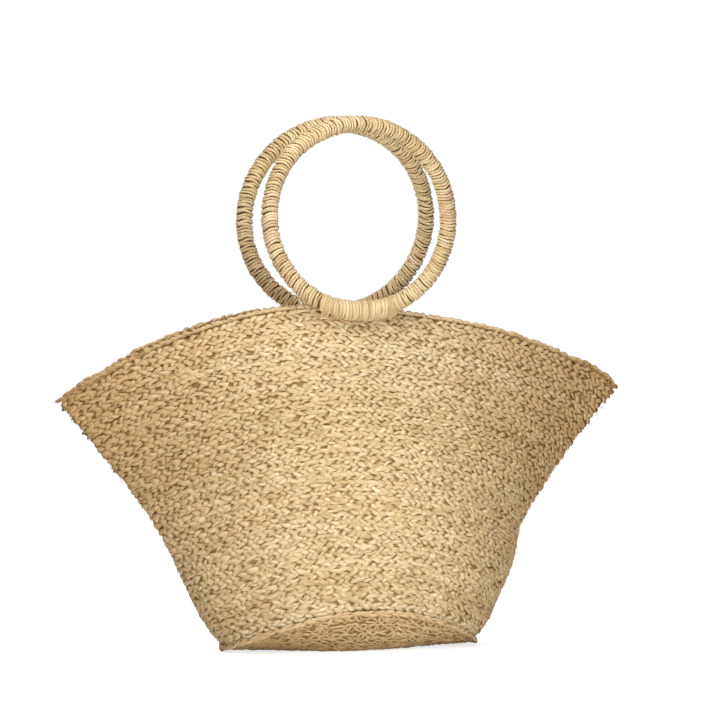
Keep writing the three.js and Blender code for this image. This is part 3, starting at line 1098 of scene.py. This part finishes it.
@dataclass(frozen=True)
class LooseFibres:
    """Fine bare fibres that lie across the plait of the wall."""

    count: int = 800
    seed: int = 71
    shortest: float = 5.0
    longest: float = 13.0
    points: int = 6
    width: float = 0.55
    thickness: float = 0.4
    section_sides: int = 4
    slant_degrees: float = -32.0
    slant_spread_degrees: float = 26.0
    height: float = 1.75
    end_drop: float = 1.1
    light_tone: float = 0.9
    dark_tone: float = 0.35
    dark_share: float = 0.2
    lowest: float = 0.03
    highest: float = 0.97
    bend: float = 0.5
    end_girth: float = 0.45
    track_steps: int = 1501

    def build(self, bag: BagBuilder) -> None:
        """Builds the fibres as one piece.

        Args:
            bag: The bag's form, sweeper and materials.
        """
        rng = np.random.default_rng(self.seed)
        form = bag.form
        run = StrandRun.empty(closed=False)
        fine = np.linspace(0.0, TURN, self.track_steps)
        track = form.wall_point(fine, np.full_like(fine, 0.5), 0.0)
        travelled = np.concatenate([[0.0], np.cumsum(np.linalg.norm(np.diff(track, axis=0), axis=1))])
        share = np.linspace(-0.5, 0.5, self.points)
        for _ in range(self.count):
            start = float(np.interp(rng.uniform(0.0, travelled[-1]), travelled, fine))
            level = rng.uniform(self.lowest, self.highest)
            length = rng.uniform(self.shortest, self.longest)
            slant = math.radians(rng.normal(self.slant_degrees, self.slant_spread_degrees))
            bend = rng.normal() * self.bend * (1.0 - (2.0 * share) ** 2)
            here = form.wall_point(np.array([start, start + SMALL_TURN]), np.array([level, level]), 0.0)
            pace = np.linalg.norm(here[1] - here[0]) / SMALL_TURN
            tall = float(form.wall_top_height(np.cos(np.array(start))) - form.seam_height(np.array(start)))
            angle = start + (share * length * math.cos(slant) - bend * math.sin(slant)) / pace
            rise = level + (share * length * math.sin(slant) + bend * math.cos(slant)) / tall
            above_middle = self.height - self.end_drop * (2.0 * share) ** 2
            points = form.wall_point(angle, rise, form.wall_thickness / 2.0 - above_middle)
            deeper = form.wall_point(angle, rise, form.wall_thickness / 2.0 - above_middle + 1.0)
            tone = self.dark_tone if rng.random() < self.dark_share else self.light_tone
            run.add(
                points,
                lie=unit(points - deeper),
                girth=self.end_girth + (1.0 - self.end_girth) * np.cos(math.pi * share),
                tone=np.full(self.points, tone),
                warmth=np.full(self.points, float(np.clip(rng.normal(0.5, 0.1), 0.0, 1.0))),
                along=share * length + rng.uniform(0.0, FIBRE_START),
                lift=np.ones(self.points),
            )
        finish = bag.materials.get(Straw.WALL)
        sides = self.section_sides
        piece = bag.sweeper.sweep(run, "wall_loose_fibres", self.width, self.thickness, sides, finish)
        bag.finish_piece(piece, "wall")


PLAIN_STRAW = {"tone": 0.4, "warmth": 0.5, "lift": 1.0, "along": 0.0, "across": 0.0}


def closed_band(name: str, sections: np.ndarray, material: bpy.types.Material) -> bpy.types.Object:
    """Joins closed sections into a closed band.

    Args:
        name: Name of the object.
        sections: Array of stations, points and coordinates, in millimetres.
        material: Material of the band.

    Returns:
        The new object.
    """
    stations, sides, _ = sections.shape
    here = np.arange(stations)[:, None] * sides + np.arange(sides)[None, :]
    ahead = np.roll(here, -1, axis=0)
    faces = np.stack([here, ahead, np.roll(ahead, -1, axis=1), np.roll(here, -1, axis=1)], axis=-1)
    mesh = bpy.data.meshes.new(name)
    mesh.from_pydata((sections.reshape(-1, 3) / METRE).tolist(), [], faces.reshape(-1, 4).tolist())
    mesh.polygons.foreach_set("use_smooth", [True] * len(mesh.polygons))
    mesh.materials.append(material)
    count = len(mesh.vertices)
    for key, value in PLAIN_STRAW.items():
        layer = mesh.attributes.new(key, "FLOAT", "POINT")
        layer.data.foreach_set("value", [value] * count)
    mesh.update()
    band = bpy.data.objects.new(name, mesh)
    bpy.context.scene.collection.objects.link(band)
    return band


@dataclass(frozen=True)
class PlaitedBase:
    """Oval base of plait coiled from the edge to the middle."""

    rows: int = 9
    seed: int = 23
    plait: Plait = Plait(pitch=6.2, period=21.0)
    core_rows: int = 16
    core_steps: int = 96
    core_half_thickness: float = 0.08
    core_edge_depth: float = 1.0
    core_middle_gap: float = 0.6
    tone: float = 0.46
    tone_spread: float = 0.05
    warmth: float = 0.52
    warmth_spread: float = 0.06

    def build(self, bag: BagBuilder) -> None:
        """Builds the coil and its inner skin.

        Args:
            bag: The bag's form, sweeper and materials.
        """
        rng = np.random.default_rng(self.seed)
        form = bag.form
        pitch = form.base_width / 2.0 / self.rows
        run = StrandRun.empty()
        for row in range(self.rows):

            def middle(angle: np.ndarray, side: np.ndarray, row: int = row) -> Points:
                """Points of this row, half way through the base."""
                return form.base_middle_point(angle, (row + 0.5) * pitch - side * pitch / self.plait.pitch)

            tone = self.tone + rng.normal() * self.tone_spread
            warmth = self.warmth + rng.normal() * self.warmth_spread
            self.plait.lay(run, middle, rng, tone, warmth, outward=-1.0)
        bag.weave(run, "base_plait", self.plait, Straw.BASE, "base")
        bag.finish_piece(self._core(bag), "base")

    def _core(self, bag: BagBuilder) -> bpy.types.Object:
        """Thin closed skin in the middle of the base, seen only in the gaps of the plait, in darker straw
        that paints the shade in those gaps.

        Args:
            bag: The bag's form, sweeper and materials.

        Returns:
            The skin.
        """
        form = bag.form
        angles = np.linspace(0.0, TURN, self.core_steps, endpoint=False)
        deepest = form.base_width / 2.0 - self.core_middle_gap
        depths = np.linspace(self.core_edge_depth, deepest, self.core_rows)
        grid_angle, grid_depth = np.meshgrid(angles, depths, indexing="ij")
        middle = form.base_middle_point(grid_angle, grid_depth)
        lift = np.array([0.0, 0.0, self.core_half_thickness])
        sections = np.concatenate([middle + lift, (middle - lift)[:, ::-1]], axis=1)
        return closed_band("base_skin", sections[:, ::-1], bag.materials.get(Straw.CORE))


@dataclass(frozen=True)
class RimRoll:
    """Plait laid over the wall's top edge, its faces up and down."""

    seed: int = 31
    bed_depth: float = 0.5
    plait: Plait = Plait(
        pitch=4.6,
        period=19.0,
        reach=1.15,
        rise=0.7,
        straw_width=2.5,
        straw_thickness=2.2,
        shingle_tilt=0.0,
        row_lap=0.0,
    )
    # Painted light: the roll's straw is a little lighter than the wall's, making up for the shade on the rim.
    tone: float = 0.66
    warmth: float = 0.5

    def build(self, bag: BagBuilder) -> None:
        """Builds the roll.

        Args:
            bag: The bag's form, sweeper and materials.
        """
        rng = np.random.default_rng(self.seed)
        form = bag.form
        run = StrandRun.empty()

        def middle(angle: np.ndarray, side: np.ndarray) -> Points:
            """Points of the roll's middle line.

            Args:
                angle: Place round the wall.
                side: Offset across the wall's thickness, in millimetres.

            Returns:
                Points in millimetres.
            """
            point = form.wall_point(angle, np.ones_like(angle), form.wall_thickness / 2.0 - side)
            point[..., 2] = form.rim_height(np.cos(angle)) - form.rim_roll_height / 2.0 - self.bed_depth
            return point

        self.plait.lay(run, middle, rng, self.tone, self.warmth, outward=-1.0)
        bag.weave(run, "rim_roll_plait", self.plait, Straw.EDGE, "rim_roll")


@dataclass(frozen=True)
class SeamPlait:
    """Smooth narrow plait along the seam between wall and base."""

    seed: int = 41
    plait_thickness: float = 2.6
    plait: Plait = Plait(
        pitch=4.8,
        period=27.0,
        reach=1.15,
        rise=0.6,
        straw_width=2.6,
        straw_thickness=1.6,
        leaf_swell=0.1,
        shingle_tilt=0.0,
        row_lap=0.0,
    )
    tone: float = 0.5
    warmth: float = 0.64

    def build(self, bag: BagBuilder) -> None:
        """Builds the plait.

        Args:
            bag: The bag's form, sweeper and materials.
        """
        rng = np.random.default_rng(self.seed)
        form = bag.form
        run = StrandRun.empty()
        inset = -form.clearance - self.plait_thickness / 2.0

        def middle(angle: np.ndarray, side: np.ndarray) -> Points:
            """Points of the plait's middle line.

            Args:
                angle: Place round the wall.
                side: Offset upwards from the base's edge, in millimetres.

            Returns:
                Points in millimetres.
            """
            point = form.wall_point(angle, np.zeros_like(angle), inset)
            edge = form.base_middle_point(angle, np.zeros_like(angle))
            point[..., 2] = edge[..., 2] + side
            return point

        self.plait.lay(run, middle, rng, self.tone, self.warmth)
        bag.weave(run, "seam_plait_straw", self.plait, Straw.EDGE, "seam_plait")


@dataclass(frozen=True)
class WoundHandle:
    """Ring wound with straw and lashed to the rim."""

    handle: HandleForm
    seed: int
    wraps: int = 190
    points_per_wrap: int = 16
    wrap_width: float = 2.3
    wrap_thickness: float = 1.8
    arch: float = 0.9
    pairing: float = 0.17
    lashing_loops: int = 24
    lashing_points: int = 36
    lashing_thickness: float = 1.7
    lashing_width: float = 2.9
    section_sides: int = 8
    winding_sink: float = 0.1
    bulge: float = 0.16
    slow_wobble: float = 0.06
    fine_wobble: float = 0.09
    girth_spread: float = 0.13
    tone: float = 0.58
    tone_spread: float = 0.09
    tone_drift: float = 0.05
    drift_waves: int = 9
    warmth_spread: float = 0.06
    core_depth: float = 1.6
    core_steps: int = 96
    core_sides: int = 12
    cover_middle: float = 0.3
    cover_end_drop: float = 1.1
    leg_standoff: float = 0.6
    rim_standoff: float = 0.7
    foot_rise: float = 1.0
    shoulder_drop: float = 2.0
    shoulder_inset: float = 0.4
    outer_inset: float = 0.3
    outer_rise: float = 0.2
    first_arc_degrees: float = 122.0
    arc_step_degrees: float = 33.0
    arc_points: int = 7
    loop_slack: float = 0.3
    loop_shift: float = 0.35
    loop_slant: float = 0.5
    loop_girth_spread: float = 0.06
    loop_tone: float = 0.6
    loop_tone_spread: float = 0.1
    loop_warmth_spread: float = 0.08
    loop_fibre_start: float = 300.0

    def build(self, bag: BagBuilder) -> None:
        """Builds the winding, its core and the lashing.

        Args:
            bag: The bag's form, sweeper and materials.
        """
        name = self.handle.side.name.lower()
        rng = np.random.default_rng(self.seed)
        bag.finish_piece(self._winding(bag, rng, name), f"ring_{name}")
        bag.finish_piece(self._core(bag, name), f"ring_{name}")
        bag.finish_piece(self._lashing(bag, rng, name), f"lashing_{name}")

    def _winding(self, bag: BagBuilder, rng: np.random.Generator, name: str) -> bpy.types.Object:
        """One straw wound round the ring, each wrap arched a little towards its near side.

        Args:
            bag: The bag's form, sweeper and materials.
            rng: Random source of the handle.
            name: front or back.

        Returns:
            The winding.
        """
        count = self.wraps * self.points_per_wrap
        wrap = np.arange(count) / self.points_per_wrap
        share = wrap / self.wraps
        around = TURN * (wrap % 1.0)
        near = QUARTER * self.handle.side.value
        bend = self.arch * 0.5 * np.cos(2.0 * (around - near))
        wobble = slow_wave(share, rng, self.wraps) * self.slow_wobble
        wobble = wobble + slow_wave(share, rng, 3 * self.wraps) * self.fine_wobble
        pairing = np.sin(around - near) * np.cos(math.pi * wrap + math.pi / 4.0)
        wobble = wobble + self.pairing * pairing
        ring_turn = TURN * (wrap - bend + wobble) / self.wraps
        centre, away, axle = self.handle.frame_at(bag.form, ring_turn)
        out = unit(np.cos(around)[:, None] * -away + np.sin(around)[:, None] * axle)
        bulge = slow_wave(share, rng, self.wraps) * self.bulge
        radius = self.handle.tube_radius - self.wrap_thickness / 2.0 + bulge - self.winding_sink
        run = StrandRun.empty()
        tone = self.tone + self.tone_spread * slow_wave(share, rng, self.wraps)
        tone = tone + self.tone_drift * slow_wave(share, rng, self.drift_waves)
        girth = 1.0 + self.girth_spread * slow_wave(share, rng, 2 * self.wraps)
        warmth = 0.5 + self.warmth_spread * slow_wave(share, rng, self.wraps // 2)
        run.add(
            centre + out * radius[:, None],
            lie=out,
            girth=girth,
            tone=np.clip(tone, 0.0, 1.0),
            warmth=np.clip(warmth, 0.0, 1.0),
            along=wrap * TURN * self.handle.tube_radius,
            lift=np.ones(count),
        )
        finish = bag.materials.get(Straw.HANDLE)
        width, thickness, sides = self.wrap_width, self.wrap_thickness, self.section_sides
        return bag.sweeper.sweep(run, f"ring_{name}_winding", width, thickness, sides, finish)

    def _core(self, bag: BagBuilder, name: str) -> bpy.types.Object:
        """Ring under the winding, seen only between the wraps, in near-black brown that paints the shade in
        the slits.

        Args:
            bag: The bag's form, sweeper and materials.
            name: front or back.

        Returns:
            The core.
        """
        turn = np.linspace(0.0, TURN, self.core_steps, endpoint=False)
        centre, away, axle = self.handle.frame_at(bag.form, turn)
        round_tube = np.linspace(0.0, TURN, self.core_sides, endpoint=False)
        radius = self.handle.tube_radius - self.core_depth
        sections = np.stack(
            [centre + radius * (math.cos(a) * away + math.sin(a) * axle) for a in round_tube], axis=1
        )
        if self.handle.side is Side.FRONT:
            sections = sections[:, ::-1]
        return closed_band(f"ring_{name}_core", sections, bag.materials.get(Straw.SLIT_SHADE_CORE))

    def _loop(self, bag: BagBuilder, x: float, slack: float) -> np.ndarray:
        """Middle line of one lashing loop round tube and rim, as distance out and height.

        Args:
            bag: The bag's form, sweeper and materials.
            x: Place of the loop along the rim.
            slack: How loose it is.

        Returns:
            Corners of the loop, each a distance from the middle plane and a height.
        """
        form, handle = bag.form, self.handle
        turn = math.asin(x / handle.radius)
        lift = handle.radius * (1.0 - math.cos(turn))
        lean = math.radians(handle.lean_degrees)
        out, height = handle.seat(form)
        tube_out = out - lift * math.sin(lean)
        tube_height = height + lift * math.cos(lean)
        ends = (2.0 * x / handle.lashing_length) ** 2
        thick = self.cover_middle - self.cover_end_drop * ends
        cover = handle.tube_radius + self.lashing_thickness * thick + slack
        along = x / float(form.half_length(np.array(1.0), np.array(x > 0.0)))
        angle = np.array(self.handle.side.value * math.acos(along))
        wall_out = abs(float(form.wall_point(angle, np.array(1.0), 0.0)[1]))
        overhang = max(form.rim_roll_width - form.wall_thickness, 0.0) / 2.0
        leg_out = wall_out - form.wall_thickness - overhang - self.leg_standoff
        rim_top = float(form.rim_height(np.array(along))) + self.rim_standoff
        leg_foot = float(form.rim_height(np.array(0.0))) - handle.lashing_leg_drop + self.foot_rise
        corners = [
            (leg_out, leg_foot),
            (leg_out, rim_top - self.shoulder_drop),
            (wall_out - form.wall_thickness + self.shoulder_inset, rim_top),
            (wall_out - self.outer_inset, rim_top + self.outer_rise),
        ]
        tall = cover / math.cos(turn)
        for arc in range(self.arc_points):
            around = math.radians(self.first_arc_degrees - self.arc_step_degrees * arc)
            corners.append((tube_out + cover * math.cos(around), tube_height + tall * math.sin(around)))
        return np.array(corners)

    def _lashing(self, bag: BagBuilder, rng: np.random.Generator, name: str) -> bpy.types.Object:
        """Loops of straw round handle and rim, side by side.

        Args:
            bag: The bag's form, sweeper and materials.
            rng: Random source of the handle.
            name: front or back.

        Returns:
            The loops.
        """
        run = StrandRun.empty()
        span = self.handle.lashing_length - self.wrap_width
        for loop in range(self.lashing_loops):
            x = span * (loop / (self.lashing_loops - 1) - 0.5)
            corners = self._loop(bag, x, rng.normal() * self.loop_slack)
            closed = np.vstack([corners, corners[:1]])
            travelled = np.concatenate([[0.0], np.cumsum(np.linalg.norm(np.diff(closed, axis=0), axis=1))])
            share = np.arange(self.lashing_points) / self.lashing_points
            out = np.interp(share * travelled[-1], travelled, closed[:, 0])
            height = np.interp(share * travelled[-1], travelled, closed[:, 1])
            for _ in range(2):
                out = (np.roll(out, 1) + 2.0 * out + np.roll(out, -1)) / 4.0
                height = (np.roll(height, 1) + 2.0 * height + np.roll(height, -1)) / 4.0
            shift = rng.normal() * self.loop_shift
            slant = rng.normal() * self.loop_slant * np.sin(TURN * share + rng.uniform(0.0, TURN))
            path = np.stack([x + shift + slant, self.handle.side.value * out, height], axis=-1)
            ahead = np.roll(path, -1, axis=0) - np.roll(path, 1, axis=0)
            lie = unit(np.cross(ahead, np.array([1.0, 0.0, 0.0]))) * -self.handle.side.value
            girth = 1.0 + rng.normal() * self.loop_girth_spread
            tone = self.loop_tone + rng.normal() * self.loop_tone_spread
            warmth = 0.5 + rng.normal() * self.loop_warmth_spread
            run.add(
                path,
                lie=lie,
                girth=np.full(self.lashing_points, girth),
                tone=np.full(self.lashing_points, float(np.clip(tone, 0.0, 1.0))),
                warmth=np.full(self.lashing_points, float(np.clip(warmth, 0.0, 1.0))),
                along=share * travelled[-1] + rng.uniform(0.0, self.loop_fibre_start),
                lift=np.ones(self.lashing_points),
            )
        finish = bag.materials.get(Straw.LASHING)
        width, thickness, sides = self.lashing_width, self.lashing_thickness, self.section_sides
        return bag.sweeper.sweep(run, f"lashing_{name}_loops", width, thickness, sides, finish)


class LampRow(NamedTuple):
    """Soft square lamp: its place and size in metres and its power in watts."""

    name: str
    place: tuple[float, float, float]
    size: float
    power: float


@dataclass(frozen=True)
class Studio:
    """Pale floor, soft light and the camera at the photograph's angle."""

    azimuth_degrees: float = -17.0
    distance: float = 2218.0
    camera_height: float = 224.7
    aim_right: float = 11.3
    focal_pixels: float = 2843.4
    image_pixels: float = 720.0
    sensor_width: float = 36.0
    floor_size: float = 60.0
    floor_colour: tuple[float, float, float, float] = (0.8, 0.79, 0.78, 1.0)
    floor_glow: float = 0.72
    floor_roughness: float = 0.9
    floor_gloss: float = 0.1
    view_depth: float = 100.0
    ambient: float = 0.06
    sun_strength: float = 1.0
    sun_spread_degrees: float = 70.0
    sun_tilt_degrees: float = 12.0
    lamp_aim: tuple[float, float, float] = (0.0, 0.0, 0.15)
    lamps: tuple[LampRow, ...] = (
        LampRow("side_lamp", (-0.3, -0.5, 0.5), 0.3, 1.25),
        LampRow("front_lamp", (0.03, -0.4, 0.1), 0.25, 0.62),
        LampRow("high_lamp", (-0.1, -0.25, 0.6), 0.2, 0.8),
        LampRow("low_lamp", (0.0, -0.45, 0.03), 0.15, 0.4),
        LampRow("back_lamp", (-0.25, 0.5, 0.35), 0.3, 2.4),
    )

    def build(self) -> None:
        """Builds floor, lights, world and camera."""
        self._floor()
        self._lights()
        self._camera()

    def _floor(self) -> None:
        """Large pale floor, not part of the object."""
        bpy.ops.mesh.primitive_plane_add(size=self.floor_size, location=(0.0, 0.0, 0.0))
        floor = bpy.context.object
        floor.name = "floor"
        material = bpy.data.materials.new("pale_floor")
        material.use_nodes = True
        nodes, links = material.node_tree.nodes, material.node_tree.links
        surface = nodes["Principled BSDF"]
        surface.inputs["Base Color"].default_value = self.floor_colour
        surface.inputs["Emission Color"].default_value = (1.0, 1.0, 1.0, 1.0)
        path = nodes.new("ShaderNodeLightPath")
        glow = nodes.new("ShaderNodeMath")
        glow.operation = "MULTIPLY"
        glow.inputs[1].default_value = self.floor_glow
        links.new(path.outputs["Is Camera Ray"], glow.inputs[0])
        links.new(glow.outputs[0], surface.inputs["Emission Strength"])
        surface.inputs["Roughness"].default_value = self.floor_roughness
        surface.inputs["Specular IOR Level"].default_value = self.floor_gloss
        floor.data.materials.append(material)

    def _lights(self) -> None:
        """World light, white behind the bag, a soft overhead sun and near soft lamps."""
        scene = bpy.context.scene
        world = bpy.data.worlds.new("pale_world")
        world.use_nodes = True
        nodes, links = world.node_tree.nodes, world.node_tree.links
        ambient = nodes["Background"]
        ambient.inputs["Color"].default_value = (1.0, 1.0, 1.0, 1.0)
        ambient.inputs["Strength"].default_value = self.ambient
        backdrop = nodes.new("ShaderNodeBackground")
        backdrop.inputs["Color"].default_value = (1.0, 1.0, 1.0, 1.0)
        path = nodes.new("ShaderNodeLightPath")
        choice = nodes.new("ShaderNodeMixShader")
        links.new(path.outputs["Is Camera Ray"], choice.inputs[0])
        links.new(ambient.outputs[0], choice.inputs[1])
        links.new(backdrop.outputs[0], choice.inputs[2])
        links.new(choice.outputs[0], nodes["World Output"].inputs["Surface"])
        scene.world = world
        scene.view_settings.view_transform = "Standard"
        sun = bpy.data.lights.new("overhead_sun", "SUN")
        sun.energy = self.sun_strength
        sun.angle = math.radians(self.sun_spread_degrees)
        overhead = bpy.data.objects.new("overhead_sun", sun)
        overhead.location = (0.0, 0.0, 3.0)
        overhead.rotation_euler = (math.radians(self.sun_tilt_degrees), 0.0, 0.0)
        scene.collection.objects.link(overhead)
        for row in self.lamps:
            light = bpy.data.lights.new(row.name, "AREA")
            light.size = row.size
            light.energy = row.power
            lamp = bpy.data.objects.new(row.name, light)
            lamp.location = row.place
            lamp.visible_camera = False
            target = np.array(self.lamp_aim) - np.array(row.place)
            turn = math.atan2(target[1], target[0]) - QUARTER
            tilt = math.atan2(math.hypot(target[0], target[1]), -target[2])
            lamp.rotation_euler = (tilt, 0.0, turn)
            scene.collection.objects.link(lamp)

    def _camera(self) -> None:
        """Camera level with the middle of the picture, turned to the left of the front."""
        azimuth = math.radians(self.azimuth_degrees)
        right = np.array([math.cos(azimuth), math.sin(azimuth), 0.0])
        back = np.array([math.sin(azimuth), -math.cos(azimuth), 0.0])
        aim = right * self.aim_right + np.array([0.0, 0.0, self.camera_height])
        data = bpy.data.cameras.new("camera")
        data.sensor_width = self.sensor_width
        data.lens = self.focal_pixels / self.image_pixels * self.sensor_width
        data.clip_end = self.view_depth
        camera = bpy.data.objects.new("camera", data)
        camera.location = (aim + back * self.distance) / METRE
        camera.rotation_euler = (QUARTER, 0.0, azimuth)
        bpy.context.scene.collection.objects.link(camera)
        bpy.context.scene.camera = camera


def main() -> None:
    """Builds the bag piece by piece, then the studio."""
    logging.basicConfig(level=logging.INFO, format="%(name)s %(message)s")
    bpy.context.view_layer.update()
    bag = BagBuilder()
    PlaitedWall().build(bag)
    LooseFibres().build(bag)
    PlaitedBase().build(bag)
    RimRoll().build(bag)
    SeamPlait().build(bag)
    WoundHandle(HandleForm(Side.FRONT, lean_degrees=1.0, outer_diameter=157.0), seed=51).build(bag)
    WoundHandle(HandleForm(Side.BACK, lean_degrees=9.5, outer_diameter=163.0), seed=61).build(bag)
    Studio().build()


if __name__ == "__main__":
    main()
